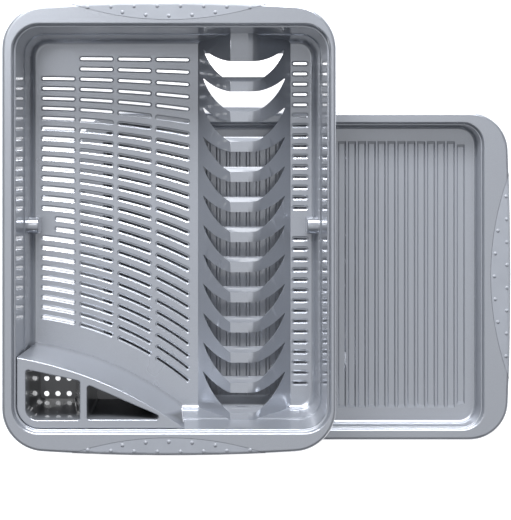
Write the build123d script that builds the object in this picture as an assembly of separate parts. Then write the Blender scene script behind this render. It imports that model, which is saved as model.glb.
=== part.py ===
from build123d import *
import os
from math import asin, cos, degrees, hypot, radians, sqrt

# Dish drainer: a deep rack basin lies crosswise on a shallow drip tray.
# Millimetres, +Z up. The origin is the centre of the tray's underside.

# ---- rack basin ----
rack_width = 354.0
rack_length = 480.0
rack_height = 88.0
rack_corner_r = 46.0
rack_end_bulge = 7.0
rack_rim_left = 11.5
rack_rim_right = 6.5
rack_rim_end = 24.0
opening_corner_r = 28.0
rim_skirt = 13.0
rim_edge_r = 4.0
wall = 2.5
rack_floor_t = 2.5
step_depth = 44.0
land = 3.0

# ---- floor slots, left of the ridge ----
slot_width = 2.4
slot_column_start = 21.7
slot_column_width = 33.2
slot_column_pitch = 42.8
slot_column_clear = 6.0
slot_from_end = 29.4
slot_last_from_end = 41.0
slot_pitch_left = 11.165
slot_pitch_right = 13.85
slot_drop_right = 1.5
slot_sag_step = 0.51
short_slot_rows = 2
slot_pocket_width = 6.0
slot_pocket_floor = 3.6
slot_pocket_depth = 0.6
lug_slot_shift = 15.2
lug_slot_clear = 4.0

# ---- floor slots, right of the ridge ----
side_slot_length = 15.4
side_slot_pitch = 11.58
side_slot_from_end = 36.0
side_slot_from_edge = 26.0
side_slot_shift = 1.4

# ---- plate ridge ----
ridge_from_edge = 36.7
ridge_width = 104.0
ridge_height = 44.0
ridge_top_left = 35.5
ridge_top_right = 63.3
ridge_wall = 2.6
ridge_crest_r = 1.5
ridge_round_r = 19.0
ridge_window_end = 8.0
ridge_window_r = 2.0
plate_slot_pitch = 32.8
plate_slot_from_end = 19.7
plate_slot_end_clear = 12.0
plate_slot_base = 7.2
plate_slot_lean = 16.6
plate_slot_mouth = 21.8
plate_slot_curl = 0.68
leaf_t = 2.0
leaf_depth = 10.0
steepest_flank = 72.0

# ---- lugs on the long walls ----
lug_width = 18.6
lug_height = 30.0
lug_reach = 13.0
lug_edge_r = 1.5

# ---- cutlery holder ----
holder_tip_gap = 13.5
holder_depth = 75.5
holder_edge_gap = 3.3
holder_drop = 8.0
holder_foot_gap = 0.3
holder_wall = 2.2
holder_arch = 11.0
holder_foot_corner_r = 16.5
holder_draft = 11.0
holder_spread = 4.5
holder_edge_r = 1.2
well_wall = 1.5
well_corner_r = 2.6
well_round_r = 12.0
well_round_foot_r = 5.0
well_one_from = (9.8, 8.9)
well_one_end = 67.3
well_one_arch_gap = (10.9, 7.5)
well_one_draw = (5.6, 8.4, 12.6, 9.5)
well_two_from = (75.0, 9.4)
well_two_tip = 4.7
well_two_foot_tip = 5.5
well_two_arch_gap = (8.6, 4.3)
well_two_draw = (4.0, 7.6, 1.0)
drain_hole_d = 5.8
drain_hole_first = (22.2, 23.0)
drain_hole_pitch = (12.6, 17.2)
drain_hole_grid = (3, 2)
drain_window_margin = 2.5

# ---- drip tray ----
tray_width = 490.0
tray_length = 370.0
tray_height = 28.0
tray_corner_r = 44.0
tray_end_bulge = 4.5
tray_rim_side = 12.0
tray_rim_end = 31.0
tray_opening_r = 24.0
tray_skirt = 11.0
tray_floor_t = 4.0
channel_pitch = 11.35
channel_width = 9.2
channel_depth = 1.3
channel_run = 1.6
channel_end_run = 3.4
channel_field_margin = 20.0
channel_side_margin = 14.5
channel_field_r = 16.0
foot_recess = 0.8
foot_rib = 12.0

# ---- grip pads ----
grip_thickness = 1.2
grip_groove = 0.5
grip_skirt_gap = 2.0
bump_height = 0.9
bump_base_r = 2.1
bump_edge_inset = 4.8
bump_line_inset = 4.4
rack_grip_length = 209.0
rack_grip_depth = 19.6
rack_bump_pitch = 24.5
tray_grip_length = 236.0
tray_grip_depth = 23.4
tray_bump_pitch = 25.75
outer_bumps = 8
inner_bumps = 5

# ---- how the rack lies on the tray ----
rack_place_x = -137.9
rack_place_y = 58.7
rest_gap = 0.3
cut_over = 1.0

# ---- derived places ----
rack_x0 = -rack_width / 2 + rack_rim_left
rack_x1 = rack_width / 2 - rack_rim_right
rack_y1 = rack_length / 2 - rack_rim_end
tray_x1 = tray_width / 2 - tray_rim_end
tray_y1 = tray_length / 2 - tray_rim_side
rack_z = tray_height + bump_height + rest_gap
step_z = rack_height - step_depth

ridge_x0 = rack_x1 - ridge_from_edge - ridge_width
ridge_top = rack_floor_t + ridge_height
plate_slot_first = rack_y1 - plate_slot_from_end
plate_slot_last = -rack_y1 + plate_slot_end_clear + plate_slot_lean + plate_slot_mouth
plate_slot_count = int((plate_slot_first - plate_slot_last) / plate_slot_pitch) + 1

slot_field = ridge_x0 - rack_x0 - slot_column_start - slot_column_clear
slot_columns = int((slot_field - slot_column_width) / slot_column_pitch) + 1
slot_row_start = rack_y1 - slot_from_end
slot_row_span = slot_row_start - slot_drop_right + rack_y1 - slot_last_from_end
slot_rows = int(slot_row_span / slot_pitch_right) + 1
side_slot_count = int((2 * rack_y1 - 2 * side_slot_from_end) / side_slot_pitch) + 1

holder_corner_r = opening_corner_r - holder_edge_gap
holder_x0 = rack_x0 + holder_edge_gap
holder_y0 = -rack_y1 + holder_edge_gap
holder_z0 = rack_floor_t + holder_foot_gap
holder_z1 = rack_height - holder_drop
holder_length = ridge_x0 - holder_tip_gap - holder_x0
well_one = (well_one_from, well_one_end, well_one_arch_gap, well_one_draw)

channel_field = 2 * tray_y1 - 2 * channel_field_margin
channel_count = int((2 * tray_x1 - 2 * channel_side_margin) / channel_pitch)

# Inner face of each wall: (distance inward from the rim's inner edge, height), rounding of that corner.
rack_profile = [
    ((-land, rack_height), 0),
    ((0, rack_height), 2.0),
    ((0.8, rack_height - 7.0), 0.8),
    ((2.8, rack_height - 7.4), 0.8),
    ((5.8, step_z), 1.0),
    ((7.0, step_z - 1.5), 1.0),
    ((10.0, rack_floor_t), 5.0),
    ((16.0, rack_floor_t), 0),
]
tray_profile = [
    ((-land, tray_height), 0),
    ((0, tray_height), 2.0),
    ((0.7, tray_height - 5.0), 0.7),
    ((2.3, tray_height - 5.3), 0.7),
    ((4.0, tray_floor_t), 3.5),
    ((9.0, tray_floor_t), 0),
]
rack_floor_inset = rack_profile[-1][0][0]
tray_floor_inset = tray_profile[-1][0][0]


def rounded_face(x0, x1, y1, r):
    """Rounded rectangle from x0 to x1 and -y1 to y1."""
    return Pos((x0 + x1) / 2, 0) * RectangleRounded(x1 - x0, 2 * y1, r)


def tapered(lower, z0, upper, z1):
    """Solid with straight sides from the face lower at height z0 to the face upper at height z1."""
    return loft([(Pos(0, 0, z0) * lower).face(), (Pos(0, 0, z1) * upper).face()], ruled=True)


def bulged_face(half_x, half_y, r, bulge):
    """Rounded rectangle whose two ends along Y bow outward by bulge."""
    corner = half_y - bulge
    outline = Line((half_x, -corner), (half_x, corner))
    outline += ThreePointArc((half_x, corner), (0, half_y), (-half_x, corner))
    outline += Line((-half_x, corner), (-half_x, -corner))
    outline += ThreePointArc((-half_x, -corner), (0, -half_y), (half_x, -corner))
    face = make_face(outline)
    return fillet(face.vertices(), r)


def rounded_path(x0, x1, y1, r):
    """Closed wire of a rounded rectangle that starts halfway up its right side."""
    path = Line((x1, 0), (x1, y1 - r))
    path += RadiusArc((x1, y1 - r), (x1 - r, y1), -r)
    path += Line((x1 - r, y1), (x0 + r, y1))
    path += RadiusArc((x0 + r, y1), (x0, y1 - r), -r)
    path += Line((x0, y1 - r), (x0, r - y1))
    path += RadiusArc((x0, r - y1), (x0 + r, -y1), -r)
    path += Line((x0 + r, -y1), (x1 - r, -y1))
    path += RadiusArc((x1 - r, -y1), (x1, r - y1), -r)
    path += Line((x1, r - y1), (x1, 0))
    return Wire(path.edges())


def wall_section(profile):
    """Thin closed section of a wall: the profile's line with its corners rounded, thickened outward."""
    line = Wire(Polyline(*[point for point, radius in profile]).edges())
    for (u, z), radius in profile[1:-1]:
        corner = line.vertices().sort_by_distance((u, z, 0))[0]
        line = line.fillet_2d(radius, [corner])
    return make_face(offset(line, amount=wall, side=Side.RIGHT).edges())


def wall_ring(profile, x0, x1, y1, r):
    """The wall section swept once round the opening."""
    section_plane = Plane(origin=(x1, 0, 0), x_dir=(-1, 0, 0), z_dir=(0, 1, 0))
    return sweep(section_plane * wall_section(profile), path=rounded_path(x0, x1, y1, r))


def rim_block(outline, height, skirt, inset):
    """Solid rim cap, drawn in from the outside by inset, with a rounded top edge."""
    face = offset(outline, -inset) if inset else outline
    block = Pos(0, 0, height - skirt) * extrude(face, skirt - inset)
    top_edges = block.faces().sort_by(Axis.Z)[-1].edges()
    return fillet(top_edges, rim_edge_r - inset)


def rim_shell(outline, height, skirt, opening):
    """Rolled rim: a land round the opening and a skirt that hangs from its outer edge."""
    core = rim_block(outline, height, skirt, wall)
    hole = Pos(0, 0, height - skirt) * extrude(opening, skirt)
    return rim_block(outline, height, skirt, 0) - core - hole


def grip_skin(outline, height, skirt):
    """The outermost layer of a rim, as thick as a grip pad and clear of the skirt's lower edge."""
    skin = rim_block(outline, height, skirt, 0) - rim_block(outline, height, skirt, grip_thickness)
    lower = Pos(0, 0, height - skirt) * extrude(offset(outline, cut_over), grip_skirt_gap)
    return skin - lower


def grip_zone(length, depth, half, bulge_drop, height, shrink):
    """Upright cylinder that draws the pad's curved inner edge; half is the rim's end at mid-width."""
    rise = depth - bulge_drop
    radius = ((length / 2) ** 2 + rise**2) / (2 * rise)
    centre = half - depth + radius
    return Pos(0, centre, height / 2) * Cylinder(radius - shrink, 2 * height)


def bump(x, y, z):
    """Low dome on a pad, sunk a little into it."""
    radius = (bump_base_r**2 + bump_height**2) / (2 * bump_height)
    sunk = radius - bump_height - grip_thickness / 2
    dome = Sphere(radius, arc_size1=degrees(asin(sunk / radius)), align=None)
    return Pos(x, y, z - radius + bump_height) * dome


def end_arc_y(x, half, half_width, bulge):
    """Y of a bowed end at distance x from its middle."""
    radius = (half_width**2 + bulge**2) / (2 * bulge)
    return half - radius + sqrt(radius**2 - x**2)


def grip_bumps(length, depth, half, bulge_drop, half_width, bulge, pitch, height):
    """Two rows of bumps: one along the rim's outer edge, one along the pad's inner edge."""
    rise = depth - bulge_drop
    radius = ((length / 2) ** 2 + rise**2) / (2 * rise)
    domes = []
    for i in range(outer_bumps):
        x = (i - (outer_bumps - 1) / 2) * pitch
        domes.append(bump(x, end_arc_y(x, half, half_width, bulge) - bump_edge_inset, height))
    for i in range(inner_bumps):
        x = (i - (inner_bumps - 1) / 2) * pitch
        y = half - depth + radius - sqrt(radius**2 - x**2) + bump_line_inset
        domes.append(bump(x, y, height))
    return domes


def gripped_rim(shell, outline, height, skirt, half, half_width, bulge, length, depth, pitch):
    """Cuts the pad's seat into the shell's +Y and -Y ends; returns the shell and the two pads."""
    bulge_drop = half - end_arc_y(length / 2, half, half_width, bulge)
    skin = grip_skin(outline, height, skirt)
    seat = skin & grip_zone(length, depth, half, bulge_drop, height, 0)
    pad_zone = grip_zone(length, depth, half, bulge_drop, height, grip_groove)
    pad = (skin & pad_zone) + grip_bumps(
        length, depth, half, bulge_drop, half_width, bulge, pitch, height
    )
    turned = Rot(0, 0, 180)
    return shell - seat - turned * seat, pad, turned * pad


def lug(x_wall, direction):
    """Half-round boss that stands on the floor against a long wall."""
    side = lug_width / 2
    barrel = lug_height - side
    outline = Line((-side, rack_floor_t), (side, rack_floor_t))
    outline += Line((side, rack_floor_t), (side, rack_floor_t + barrel))
    outline += ThreePointArc(
        (side, rack_floor_t + barrel),
        (0, rack_floor_t + lug_height),
        (-side, rack_floor_t + barrel),
    )
    outline += Line((-side, rack_floor_t + barrel), (-side, rack_floor_t))
    plane = Plane(origin=(x_wall, 0, 0), x_dir=(0, 1, 0), z_dir=(1, 0, 0))
    wall_foot = rack_profile[-2][0]
    wall_step = rack_profile[-3][0]
    block = extrude(plane * make_face(outline), direction * (wall_step[0] + lug_reach))
    end_face = block.faces().sort_by(Axis.X)[-1 if direction > 0 else 0]
    rounded = end_face.edges().filter_by(lambda edge: edge.center().Z > rack_floor_t + cut_over)
    block = fillet(rounded, lug_edge_r)
    middle = Vector(x_wall + direction * (wall_foot[0] - wall / 2), 0, wall_foot[1])
    inward = Vector(direction * (wall_step[1] - wall_foot[1]), 0, wall_foot[0] - wall_step[0])
    return split(block, bisect_by=Plane(origin=middle, z_dir=inward), keep=Keep.TOP)


def rack_outline():
    return bulged_face(rack_width / 2, rack_length / 2, rack_corner_r, rack_end_bulge)


def make_rack_wall():
    """Rim, two-stage wall and lugs of the basin, and its two grip pads."""
    outline = rack_outline()
    opening = rounded_face(rack_x0 - land, rack_x1 + land, rack_y1 + land, opening_corner_r + land)
    shell = rim_shell(outline, rack_height, rim_skirt, opening)
    shell += wall_ring(rack_profile, rack_x0, rack_x1, rack_y1, opening_corner_r)
    shell += lug(rack_x0, 1)
    shell += lug(rack_x1, -1)
    return gripped_rim(
        shell,
        outline,
        rack_height,
        rim_skirt,
        rack_length / 2,
        rack_width / 2,
        rack_end_bulge,
        rack_grip_length,
        rack_grip_depth,
        rack_bump_pitch,
    )


def slot_row(k):
    """Centre line of one left-hand slot row: an arc that steepens from row to row."""
    x0 = rack_x0 + slot_column_start
    x1 = x0 + (slot_columns - 1) * slot_column_pitch + slot_column_width
    left = slot_row_start - k * slot_pitch_left
    right = slot_row_start - slot_drop_right - k * slot_pitch_right
    sag = slot_sag_step * (k + 0.5)
    middle = (left + right) / 2 + sag
    return x0, x1, ThreePointArc((x0, left), ((x0 + x1) / 2, middle), (x1, right))


def slot_piece(arc, x0, x1):
    """The part of a row's arc between x0 and x1."""
    centre = arc.arc_center
    radius = arc.radius
    start = degrees(asin((x1 - centre.X) / radius))
    end = degrees(asin((x0 - centre.X) / radius))
    return CenterArc(centre, radius, 90 - start, start - end)


def left_slots():
    """Centre lines of every slot left of the ridge."""
    lines = []
    for k in range(slot_rows):
        x0, x1, arc = slot_row(k)
        for column in range(slot_columns):
            if k < short_slot_rows and column == 0:
                continue
            start = x0 + column * slot_column_pitch
            end = start + slot_column_width
            beside_lug = column == 0 and abs(arc.position_at(0).Y) < lug_width / 2 + lug_slot_clear
            lines.append(slot_piece(arc, start + (lug_slot_shift if beside_lug else 0), end))
    return lines


def right_slots():
    """Centres of the short slots between the ridge and the right wall."""
    x = rack_x1 - side_slot_from_edge
    places = []
    for i in range(side_slot_count):
        y = (i - (side_slot_count - 1) / 2) * side_slot_pitch
        if abs(y + side_slot_shift) > lug_width / 2:
            places.append((x, y + side_slot_shift))
    return places


def pocket(top_face, bottom_face):
    """Bevelled recess in the floor's upper face."""
    return tapered(bottom_face, rack_floor_t - slot_pocket_depth, top_face, rack_floor_t)


def ridge_foot(run):
    """Level thickness of a ridge flank that rises ridge_height over run."""
    return ridge_wall * hypot(run, ridge_height) / ridge_height


def ridge_window():
    """Opening in the floor under the hollow ridge."""
    x0 = ridge_x0 + ridge_foot(ridge_top_left)
    x1 = ridge_x0 + ridge_width - ridge_foot(ridge_width - ridge_top_right)
    half = rack_y1 - rack_floor_inset - ridge_window_end
    return Pos((x0 + x1) / 2, 0) * RectangleRounded(x1 - x0, 2 * half, ridge_window_r)


def drain_window():
    """Opening in the floor under the holder's drained well."""
    left, right, lower, upper = well_sides(well_one)[1]
    x0 = left + drain_window_margin
    x1 = right - drain_window_margin
    y0 = lower + drain_window_margin
    y1 = upper(x1) - drain_window_margin
    window = RectangleRounded(x1 - x0, y1 - y0, well_corner_r)
    return Pos(holder_x0 + (x0 + x1) / 2, holder_y0 + (y0 + y1) / 2) * window


def make_rack_floor():
    """Slotted floor: each slot lies in a shallow bevelled pocket."""
    inset = rack_floor_inset
    face = rounded_face(
        rack_x0 + inset, rack_x1 - inset, rack_y1 - inset, opening_corner_r - inset
    )
    plate = extrude(face - ridge_window() - drain_window(), rack_floor_t)
    pockets = []
    slots = []
    for line in left_slots():
        pockets.append(pocket(SlotArc(line, slot_pocket_width), SlotArc(line, slot_pocket_floor)))
        slots.append(extrude(SlotArc(line, slot_width), rack_floor_t))
    for x, y in right_slots():
        grow = slot_pocket_width - slot_width
        shrink = slot_pocket_floor - slot_width
        outer = Pos(x, y) * SlotOverall(side_slot_length + grow, slot_pocket_width)
        inner = Pos(x, y) * SlotOverall(side_slot_length + shrink, slot_pocket_floor)
        pockets.append(pocket(outer, inner))
        slot = Pos(x, y) * SlotOverall(side_slot_length, slot_width)
        slots.append(extrude(slot, rack_floor_t))
    return plate - pockets - slots


def ridge_ends():
    """Feet of the ridge's two flanks on the floor."""
    return (ridge_x0, rack_floor_t), (ridge_x0 + ridge_width, rack_floor_t)


def ridge_line():
    """Upper line of the ridge's section: crisp edge on the left, wide rounding on the right."""
    left = (ridge_x0 + ridge_top_left, ridge_top)
    right = (ridge_x0 + ridge_top_right, ridge_top)
    start, end = ridge_ends()
    line = Wire(Polyline(start, left, right, end).edges())
    for corner, radius in ((left, ridge_crest_r), (right, ridge_round_r)):
        line = line.fillet_2d(radius, [line.vertices().sort_by_distance((*corner, 0))[0]])
    return line


def above_floor(depth):
    """Rectangle in the ridge's section plane that reaches from depth below its top to well above it."""
    return Pos(ridge_x0 + ridge_width / 2, ridge_top) * Rectangle(2 * ridge_width, 2 * depth)


def along_ridge(section):
    """Section of the ridge extruded from end wall to end wall."""
    plane = Plane(origin=(0, rack_y1, 0), x_dir=(1, 0, 0), z_dir=(0, -1, 0))
    return extrude(plane * section, 2 * rack_y1)


def across_ridge(outline):
    """Outline in the YZ plane extruded over the ridge's width."""
    plane = Plane(origin=(ridge_x0, 0, 0), x_dir=(0, 1, 0), z_dir=(1, 0, 0))
    return extrude(plane * make_face(outline.edges()), ridge_width)


def slot_curve(y, drop):
    """One side of a plate slot in the YZ plane: it leans most at its foot and stands up at its top."""
    foot = rack_floor_t + plate_slot_base
    rise = ridge_height - plate_slot_base
    middle = (y - plate_slot_curl * drop, foot + rise / 2)
    return ThreePointArc((y, foot), middle, (y - drop, foot + rise))


def plate_slot(i, crown):
    """Upright cutters of a plate slot: together a crescent that is widest on the ridge's top."""
    y = plate_slot_first - i * plate_slot_pitch
    near = y - plate_slot_lean
    far = near - plate_slot_mouth
    over = ridge_top + cut_over
    outline = slot_curve(y, y - near) + slot_curve(y, y - far)
    outline += Polyline((near, ridge_top), (near, over), (far, over), (far, ridge_top))
    crescent = crown & across_ridge(outline)
    skin = [face for face in crescent.faces() if face.normal_at().Z > cos(radians(steepest_flank))]
    down = ridge_height + 2 * cut_over
    return [extrude(Pos(0, 0, cut_over) * face, amount=down, dir=(0, 0, -1)) for face in skin]


def plate_leaf(i, crown):
    """Leaf under a slot's far side, which the plate leans on."""
    y = plate_slot_first - i * plate_slot_pitch
    drop = plate_slot_lean + plate_slot_mouth
    foot = rack_floor_t + plate_slot_base
    outline = slot_curve(y, drop) + slot_curve(y - leaf_t, drop)
    outline += Line((y, foot), (y - leaf_t, foot))
    outline += Line((y - drop, ridge_top), (y - drop - leaf_t, ridge_top))
    return across_ridge(outline) & crown


def make_plate_ridge(rack_wall):
    """Hollow raised hump along the floor with a row of plate slots, trimmed to the end walls."""
    line = ridge_line()
    band = make_face(offset(line, amount=ridge_wall, side=Side.RIGHT).edges())
    hump = along_ridge(band & above_floor(ridge_height))
    crown = along_ridge(make_face(line.edges() + Line(*ridge_ends()).edges()))
    for i in range(plate_slot_count):
        hump -= plate_slot(i, crown)
    crest = crown & along_ridge(above_floor(leaf_depth))
    hump += [plate_leaf(i, crest) for i in range(plate_slot_count)]
    hump -= rack_wall
    return hump.solids().sort_by(SortBy.VOLUME)[-1]


def arch():
    """Centre and radius of the holder's arched free side, from its corner."""
    chord = hypot(holder_length, holder_depth)
    radius = (chord**2 / 4 + holder_arch**2) / (2 * holder_arch)
    back = radius - holder_arch
    centre_x = holder_length / 2 - back * holder_depth / chord
    centre_y = holder_depth / 2 - back * holder_length / chord
    return centre_x, centre_y, radius


def arch_height(x):
    """Y of the arch at distance x along the wall."""
    centre_x, centre_y, radius = arch()
    return centre_y + sqrt(radius**2 - (x - centre_x) ** 2)


def arch_reach(y):
    """X of the arch at height y."""
    centre_x, centre_y, radius = arch()
    return centre_x + sqrt(radius**2 - (y - centre_y) ** 2)


def tip_well():
    """The second well: it runs on until the arch leaves it only its tip height."""
    x0, y0 = well_two_from
    gap0, gap1 = well_two_arch_gap
    x1 = arch_reach(y0 + well_two_tip + gap1)
    slope = (arch_height(x0) - gap0 - y0 - well_two_tip) / (x1 - x0)
    draw_left, draw_low, draw_up = well_two_draw
    draw_right = (draw_low + draw_up + well_two_foot_tip - well_two_tip) / slope
    return well_two_from, x1, well_two_arch_gap, (draw_left, draw_low, draw_right, draw_up)


def holder_outline(foot):
    """Holder outline: straight along the two walls and arched on its free side."""
    draft = holder_draft if foot else 0
    spread = holder_spread if foot else 0
    x0 = holder_x0 + draft
    y0 = holder_y0 + draft
    x1 = holder_x0 + holder_length - spread
    y1 = holder_y0 + holder_depth + spread
    chord = hypot(x1 - x0, y1 - y0)
    middle = (
        (x0 + x1) / 2 + holder_arch * (y1 - y0) / chord,
        (y0 + y1) / 2 + holder_arch * (x1 - x0) / chord,
    )
    outline = Line((x0, y1), (x0, y0)) + Line((x0, y0), (x1, y0))
    outline += ThreePointArc((x1, y0), middle, (x0, y1))
    face = make_face(outline)
    corner = face.vertices().sort_by_distance((x0, y0, 0))[0]
    return fillet(corner, holder_foot_corner_r if foot else holder_corner_r)


def drawn_in(face, amount):
    """The face with every side moved inward and its corners kept."""
    return offset(face, -amount, kind=Kind.INTERSECTION)


def well_sides(kind):
    """Left, right and lower side and the sloped upper side of a well, at its mouth and at its foot."""
    (x0, y0), x1, (gap0, gap1), (draw_left, draw_low, draw_right, draw_up) = kind
    start = arch_height(x0) - gap0
    slope = (arch_height(x1) - gap1 - start) / (x1 - x0)

    def upper(x):
        return start + slope * (x - x0)

    def upper_foot(x):
        return upper(x) - draw_up

    foot = (x0 + draw_left, x1 - draw_right, y0 + draw_low, upper_foot)
    return (x0, x1, y0, upper), foot


def well_face(sides, grow, radii):
    """Outline of a well in rack coordinates with the given corner radii, grown outward."""
    x0, x1, y0, upper = sides
    points = [(x0, y0), (x1, y0), (x1, upper(x1)), (x0, upper(x0))]
    face = make_face(Polyline(*points, close=True))
    for point, radius in zip(points, radii):
        face = fillet(face.vertices().sort_by_distance((*point, 0))[0], radius)
    return Pos(holder_x0, holder_y0) * (offset(face, grow) if grow else face)


def well(kind, grow, z0, z1):
    """Tapered well between its foot and its mouth."""
    mouth, foot = well_sides(kind)
    even = [well_corner_r] * 4
    rounded = kind is well_one
    foot_radii = [well_round_foot_r, *even[1:]] if rounded else even
    mouth_radii = [well_round_r, *even[1:]] if rounded else even
    return tapered(well_face(foot, grow, foot_radii), z0, well_face(mouth, grow, mouth_radii), z1)


def make_cutlery_holder():
    """Loose insert: a top plate, a skirt that stands on the floor, and two wells."""
    top = holder_outline(False)
    foot = holder_outline(True)
    body = tapered(foot, holder_z0, top, holder_z1)
    inside_top = drawn_in(top, holder_wall)
    inside_foot = drawn_in(foot, holder_wall)
    body -= tapered(inside_foot, holder_z0, inside_top, holder_z1 - holder_wall)
    wells = (well_one, tip_well())
    body += [well(kind, well_wall, holder_z0, holder_z1) for kind in wells]
    body -= [well(kind, 0, holder_z0 + holder_wall, holder_z1) for kind in wells]
    holes = []
    for i in range(drain_hole_grid[0]):
        for j in range(drain_hole_grid[1]):
            x = holder_x0 + drain_hole_first[0] + i * drain_hole_pitch[0]
            y = holder_y0 + drain_hole_first[1] + j * drain_hole_pitch[1]
            holes.append(Pos(x, y, holder_z0) * Cylinder(drain_hole_d / 2, 2 * (holder_wall + cut_over)))
    body -= holes
    return fillet(body.faces().sort_by(Axis.Z)[-1].edges(), holder_edge_r)


def make_tray_wall():
    """Rim and wall of the drip tray and its two grip pads, with the long side along X."""
    outline = bulged_face(tray_length / 2, tray_width / 2, tray_corner_r, tray_end_bulge)
    opening = rounded_face(-tray_y1 - land, tray_y1 + land, tray_x1 + land, tray_opening_r + land)
    shell = rim_shell(outline, tray_height, tray_skirt, opening)
    shell += wall_ring(tray_profile, -tray_y1, tray_y1, tray_x1, tray_opening_r)
    pieces = gripped_rim(
        shell,
        outline,
        tray_height,
        tray_skirt,
        tray_width / 2,
        tray_length / 2,
        tray_end_bulge,
        tray_grip_length,
        tray_grip_depth,
        tray_bump_pitch,
    )
    return [Rot(0, 0, -90) * piece for piece in pieces]


def channel(i):
    """Shallow hip-ended groove; those at the corners are shortened to a rounded field."""
    x = (i - (channel_count - 1) / 2) * channel_pitch
    half = channel_field / 2
    edge = (channel_count - 1) / 2 * channel_pitch + channel_pitch / 2
    into_corner = abs(x) - (edge - channel_field_r)
    if into_corner > 0:
        half -= channel_field_r - sqrt(channel_field_r**2 - into_corner**2)
    mouth = Rectangle(channel_width, 2 * half)
    bottom = Rectangle(channel_width - 2 * channel_run, 2 * half - 2 * channel_end_run)
    return tapered(Pos(x, 0) * bottom, tray_floor_t - channel_depth, Pos(x, 0) * mouth, tray_floor_t)


def make_tray_floor():
    """Channelled floor; underneath, a ring and a cross of ribs stand on the table."""
    half_x = tray_x1 - tray_floor_inset
    half_y = tray_y1 - tray_floor_inset
    plate = extrude(rounded_face(-half_x, half_x, half_y, tray_opening_r - tray_floor_inset), tray_floor_t)
    plate -= [channel(i) for i in range(channel_count)]
    bay_x = half_x - foot_rib - foot_rib / 2
    bay_y = half_y - foot_rib - foot_rib / 2
    for side_x in (-1, 1):
        for side_y in (-1, 1):
            centre = Pos(side_x * (bay_x + foot_rib) / 2, side_y * (bay_y + foot_rib) / 2)
            plate -= centre * extrude(RectangleRounded(bay_x, bay_y, foot_rib / 2), foot_recess)
    return plate


def make_nodes():
    """Every node, with the rack and what rides on it moved to where it lies on the tray."""
    rack_wall, rack_grip_back, rack_grip_front = make_rack_wall()
    rack = {
        "rack_wall": rack_wall,
        "rack_floor": make_rack_floor(),
        "plate_ridge": make_plate_ridge(rack_wall),
        "rack_grip_back": rack_grip_back,
        "rack_grip_front": rack_grip_front,
        "cutlery_holder": make_cutlery_holder(),
    }
    tray_wall, tray_grip_right, tray_grip_left = make_tray_wall()
    nodes = {
        "tray_wall": tray_wall,
        "tray_floor": make_tray_floor(),
        "tray_grip_left": tray_grip_left,
        "tray_grip_right": tray_grip_right,
    }
    for name, piece in rack.items():
        nodes[name] = Pos(rack_place_x, rack_place_y, rack_z) * piece
    return nodes


os.makedirs("parts", exist_ok=True)
for name, piece in make_nodes().items():
    export_step(piece, f"parts/{name}.step")
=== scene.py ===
from math import radians

import bpy
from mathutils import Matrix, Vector


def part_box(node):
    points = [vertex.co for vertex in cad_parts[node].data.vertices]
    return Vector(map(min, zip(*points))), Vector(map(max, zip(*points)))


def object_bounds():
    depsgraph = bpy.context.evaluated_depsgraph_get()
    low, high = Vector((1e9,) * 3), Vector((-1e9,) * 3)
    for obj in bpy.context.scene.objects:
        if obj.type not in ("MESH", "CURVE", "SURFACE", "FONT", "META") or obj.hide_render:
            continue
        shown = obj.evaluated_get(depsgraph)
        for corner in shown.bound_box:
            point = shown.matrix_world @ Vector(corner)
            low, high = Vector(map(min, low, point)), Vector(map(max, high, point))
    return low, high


# Dish drying rack: a glossy silver-grey drainer basin lying across its drip tray, on a plain white floor.
# Metres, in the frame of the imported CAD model. +Y is the back of the scene, where the light comes from.

CAMERA_FOOT = Vector((-0.0924, 0.1312))    # point of the rim plane straight below the camera
CAMERA_ABOVE_RIM = 1.300
LENS = 85.3
SENSOR = 36.0
FRAME_HEIGHT = 0.5486                      # height of the picture at the rim plane
FRAME_CENTRE = Vector((-0.0465, 0.0257))   # point of the rim plane in the middle of the picture

PLASTIC = (0.330, 0.352, 0.398)
PEARL = 0.55                               # metallic share of the plastic's silver pigment
RUBBER = (0.290, 0.310, 0.352)
WHITE = (1.0, 1.0, 1.0, 1.0)
DAYLIGHT = (0.80, 0.82, 0.86, 1.0)

# Painted shade down the cutlery holder's wells: the plastic's colour is darkened there to stand for the
# shade deep inside them.
WELL_SHADE_DARKEST = 0.16                        # share of its colour that the plastic keeps deep in the wells
WELL_SHADE_DEPTH = 0.022                    # how far below the holder's top its wells are darkest
WELL_SHADE_LINE_NORMAL = Vector((0.325, 0.946, 0.0))
WELL_SHADE_LINE_DISTANCE = 0.0642                # from the holder's corner to the line past its wells
WELL_SHADE_LINE_SOFTNESS = 0.001

WELD_DISTANCE = 0.00001
RIDGE_EDGE = 0.0008                        # width of the rounded edges of the plate ridge
HOLDER_EDGE = 0.0004
BEVEL_ANGLE = 40.0
CREASE_ANGLE = 32.0

FLOOR_HALF = 4.0
FLOOR_GLOW = 0.8
WORLD_STRENGTH = 0.12

# Soft boxes: name, place, point it faces, size, power in watts.
LIGHTS = (
    ("key_box", (-0.25, 2.2, 1.4), (-0.05, 0.0, 0.05), (2.6, 0.9), 150.0),
    ("top_box", (0.2, -0.1, 2.8), (0.2, -0.1, 0.0), (3.4, 2.6), 19.0),
    ("front_box", (0.1, -1.7, 2.6), (0.1, -0.2, 0.0), (3.0, 1.0), 3.0),
    ("corner_box", (-1.0, 1.1, 2.6), (-1.0, 1.1, 0.0), (1.0, 0.9), 14.0),
)


# ---- node helpers ----

def new_material(name):
    """A material with node access: returns it, its tree and its principled shader."""
    material = bpy.data.materials.new(name)
    material.use_nodes = True
    tree = material.node_tree
    return material, tree, tree.nodes["Principled BSDF"]


def noise(tree, scale, detail=3.0, roughness=0.5):
    """Noise in the object's own coordinates; scale is in features per metre."""
    coords = tree.nodes.new("ShaderNodeTexCoord")
    texture = tree.nodes.new("ShaderNodeTexNoise")
    texture.inputs["Scale"].default_value = scale
    texture.inputs["Detail"].default_value = detail
    texture.inputs["Roughness"].default_value = roughness
    tree.links.new(coords.outputs["Object"], texture.inputs["Vector"])
    return texture.outputs["Fac"]


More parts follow.
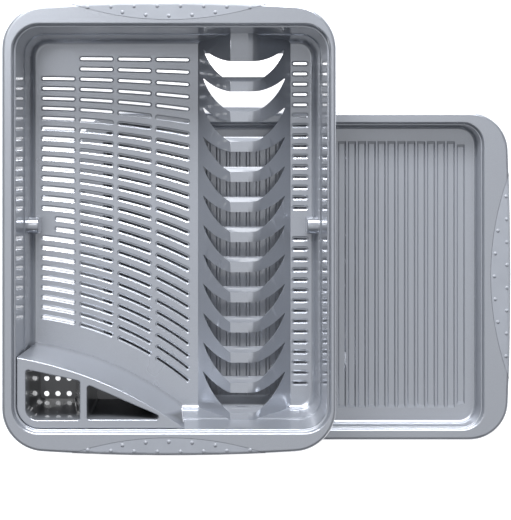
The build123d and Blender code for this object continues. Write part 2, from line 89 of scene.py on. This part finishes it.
def remap(tree, value, low, high, start=0.0, end=1.0):
    """Maps start..end to low..high."""
    node = tree.nodes.new("ShaderNodeMapRange")
    node.inputs["From Min"].default_value = start
    node.inputs["From Max"].default_value = end
    node.inputs["To Min"].default_value = low
    node.inputs["To Max"].default_value = high
    tree.links.new(value, node.inputs["Value"])
    return node.outputs["Result"]


def shade(tree, value, dark, light):
    """Colour that runs from dark to light as value runs from 0 to 1."""
    ramp = tree.nodes.new("ShaderNodeValToRGB")
    ramp.color_ramp.elements[0].position = 0.3
    ramp.color_ramp.elements[1].position = 0.7
    ramp.color_ramp.elements[0].color = (*dark, 1.0)
    ramp.color_ramp.elements[1].color = (*light, 1.0)
    tree.links.new(value, ramp.inputs["Fac"])
    return ramp.outputs["Color"]


def scaled(colour, factor):
    return tuple(channel * factor for channel in colour)


def bump(tree, height, distance, strength=1.0, below=None):
    """Bump of the given depth in metres, stacked on another bump if one is given."""
    node = tree.nodes.new("ShaderNodeBump")
    node.inputs["Distance"].default_value = distance
    node.inputs["Strength"].default_value = strength
    tree.links.new(height, node.inputs["Height"])
    if below is not None:
        tree.links.new(below, node.inputs["Normal"])
    return node.outputs["Normal"]


def glossy_plastic(name, colour):
    """Silver-grey moulded plastic: fine pearl grain under a mirror-glossy skin with faint flow marks."""
    material, tree, shader = new_material(name)
    grain = noise(tree, 2600.0, 2.0, 0.6)
    flow = noise(tree, 9.0, 3.0, 0.55)
    pearl = shade(tree, grain, scaled(colour, 0.92), scaled(colour, 1.08))
    tree.links.new(pearl, shader.inputs["Base Color"])
    tree.links.new(remap(tree, flow, 0.24, 0.34), shader.inputs["Roughness"])
    waviness = bump(tree, flow, 0.0004, 0.25)
    tree.links.new(bump(tree, grain, 0.00002, 0.3, waviness), shader.inputs["Normal"])
    tree.links.new(waviness, shader.inputs["Coat Normal"])
    shader.inputs["Metallic"].default_value = PEARL
    shader.inputs["IOR"].default_value = 1.5
    shader.inputs["Coat Weight"].default_value = 1.0
    shader.inputs["Coat Roughness"].default_value = 0.025
    shader.inputs["Coat IOR"].default_value = 1.6
    return material


def paint_well_shade(material, corner, top):
    """Paints shade into the holder's plastic colour down its wells, inside the line that runs along their
    far sides.
    """
    tree = material.node_tree
    shader = tree.nodes["Principled BSDF"]
    coords = tree.nodes.new("ShaderNodeTexCoord").outputs["Object"]
    split = tree.nodes.new("ShaderNodeSeparateXYZ")
    tree.links.new(coords, split.inputs["Vector"])
    depth = remap(tree, split.outputs["Z"], WELL_SHADE_DARKEST, 1.0, top - WELL_SHADE_DEPTH, top)
    across = tree.nodes.new("ShaderNodeVectorMath")
    across.operation = "DOT_PRODUCT"
    across.inputs[1].default_value = WELL_SHADE_LINE_NORMAL
    tree.links.new(coords, across.inputs[0])
    line = corner.dot(WELL_SHADE_LINE_NORMAL) + WELL_SHADE_LINE_DISTANCE
    near, far = line - WELL_SHADE_LINE_SOFTNESS, line + WELL_SHADE_LINE_SOFTNESS
    beyond = remap(tree, across.outputs["Value"], 0.0, 1.0, near, far)
    lighter = tree.nodes.new("ShaderNodeMath")
    lighter.operation = "MAXIMUM"
    tree.links.new(depth, lighter.inputs[0])
    tree.links.new(beyond, lighter.inputs[1])
    colour = shader.inputs["Base Color"].links[0].from_socket
    scale = tree.nodes.new("ShaderNodeVectorMath")
    scale.operation = "SCALE"
    tree.links.new(colour, scale.inputs[0])
    tree.links.new(lighter.outputs["Value"], scale.inputs["Scale"])
    tree.links.new(scale.outputs["Vector"], shader.inputs["Base Color"])


def soft_rubber(name, colour):
    """Fine-grained satin rubber of the grip pads."""
    material, tree, shader = new_material(name)
    grain = noise(tree, 1800.0, 4.0, 0.65)
    cloud = noise(tree, 40.0, 3.0, 0.5)
    clouded = shade(tree, cloud, scaled(colour, 0.96), scaled(colour, 1.04))
    tree.links.new(clouded, shader.inputs["Base Color"])
    tree.links.new(remap(tree, grain, 0.38, 0.52), shader.inputs["Roughness"])
    tree.links.new(bump(tree, grain, 0.00008, 0.6), shader.inputs["Normal"])
    shader.inputs["IOR"].default_value = 1.5
    return material


def pale_floor(name):
    """White studio floor, lit a little from within like a light table."""
    material, tree, shader = new_material(name)
    speck = noise(tree, 300.0, 4.0, 0.6)
    specked = shade(tree, speck, (0.86, 0.86, 0.86), (0.90, 0.90, 0.90))
    tree.links.new(specked, shader.inputs["Base Color"])
    shader.inputs["Roughness"].default_value = 0.55
    shader.inputs["Emission Color"].default_value = WHITE
    shader.inputs["Emission Strength"].default_value = FLOOR_GLOW
    return material


# ---- object ----

def finish_node(node, material, edge_width):
    """Gives a CAD node its material, moulded edges and clean shading."""
    node.data.materials.clear()
    node.data.materials.append(material)
    weld = node.modifiers.new("weld", "WELD")
    weld.merge_threshold = WELD_DISTANCE
    if edge_width:
        bevel = node.modifiers.new("moulded_edges", "BEVEL")
        bevel.width = edge_width
        bevel.segments = 2
        bevel.limit_method = "ANGLE"
        bevel.angle_limit = radians(BEVEL_ANGLE)
        bevel.use_clamp_overlap = True
    split = node.modifiers.new("crisp_edges", "EDGE_SPLIT")
    split.split_angle = radians(CREASE_ANGLE)


def dress(frame):
    """Gives every CAD node its look."""
    rack = glossy_plastic("rack_plastic_look", PLASTIC)
    tray = glossy_plastic("tray_plastic_look", PLASTIC)
    holder = glossy_plastic("holder_plastic_well_shade_look", PLASTIC)
    holder_low, holder_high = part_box("cutlery_holder")
    # Painted shade in the holder's wells.
    paint_well_shade(holder, holder_low, holder_high.z)
    rubber = soft_rubber("grip_rubber_look", RUBBER)
    looks = {
        "rack_wall": (rack, 0.0),
        "rack_floor": (rack, 0.0),
        "plate_ridge": (rack, RIDGE_EDGE),
        "rack_grip_back": (rubber, 0.0),
        "rack_grip_front": (rubber, 0.0),
        "cutlery_holder": (holder, HOLDER_EDGE),
        "tray_wall": (tray, 0.0),
        "tray_floor": (tray, 0.0),
        "tray_grip_left": (rubber, 0.0),
        "tray_grip_right": (rubber, 0.0),
    }
    for name, (material, edge_width) in looks.items():
        finish_node(frame["nodes"][name], material, edge_width)


# ---- stage ----

def make_floor(z):
    """Flat white floor at height z."""
    mesh = bpy.data.meshes.new("studio_floor")
    half = FLOOR_HALF
    corners = [(-half, -half, z), (half, -half, z), (half, half, z), (-half, half, z)]
    mesh.from_pydata(corners, [], [(0, 1, 2, 3)])
    floor = bpy.data.objects.new("studio_floor", mesh)
    bpy.context.scene.collection.objects.link(floor)
    mesh.materials.append(pale_floor("floor_look"))


def area_light(name, place, aim, size, power):
    """Rectangular soft box at place, turned towards aim."""
    data = bpy.data.lights.new(name, "AREA")
    data.shape = "RECTANGLE"
    data.size, data.size_y = size
    data.energy = power
    light = bpy.data.objects.new(name, data)
    light.location = place
    light.rotation_euler = (Vector(aim) - Vector(place)).to_track_quat("-Z", "Y").to_euler()
    bpy.context.scene.collection.objects.link(light)


def make_light():
    """Dim even surroundings and the soft boxes."""
    world = bpy.data.worlds.new("studio")
    bpy.context.scene.world = world
    world.use_nodes = True
    background = world.node_tree.nodes["Background"]
    background.inputs["Color"].default_value = DAYLIGHT
    background.inputs["Strength"].default_value = WORLD_STRENGTH
    for light in LIGHTS:
        area_light(*light)


def make_camera(rim_z):
    """Camera looking straight down on the rim plane, its picture shifted to the side of that point."""
    data = bpy.data.cameras.new("camera")
    data.sensor_width = SENSOR
    data.lens = LENS
    offset = (FRAME_CENTRE - CAMERA_FOOT) / FRAME_HEIGHT
    data.shift_x, data.shift_y = offset
    camera = bpy.data.objects.new("camera", data)
    camera.location = (*CAMERA_FOOT, rim_z + CAMERA_ABOVE_RIM)
    bpy.context.scene.collection.objects.link(camera)
    bpy.context.scene.camera = camera


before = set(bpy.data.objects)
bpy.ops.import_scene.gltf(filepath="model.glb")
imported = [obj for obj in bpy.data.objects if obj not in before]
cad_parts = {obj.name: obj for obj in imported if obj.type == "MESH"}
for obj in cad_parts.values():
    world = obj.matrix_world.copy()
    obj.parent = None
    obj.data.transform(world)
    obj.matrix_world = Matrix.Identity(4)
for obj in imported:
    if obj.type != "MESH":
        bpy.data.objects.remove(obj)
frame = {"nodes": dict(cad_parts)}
cad_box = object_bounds()
dress(frame)
make_floor(cad_box[0].z)
make_light()
make_camera(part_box("rack_wall")[1].z)
bpy.context.scene.view_settings.view_transform = "Standard"
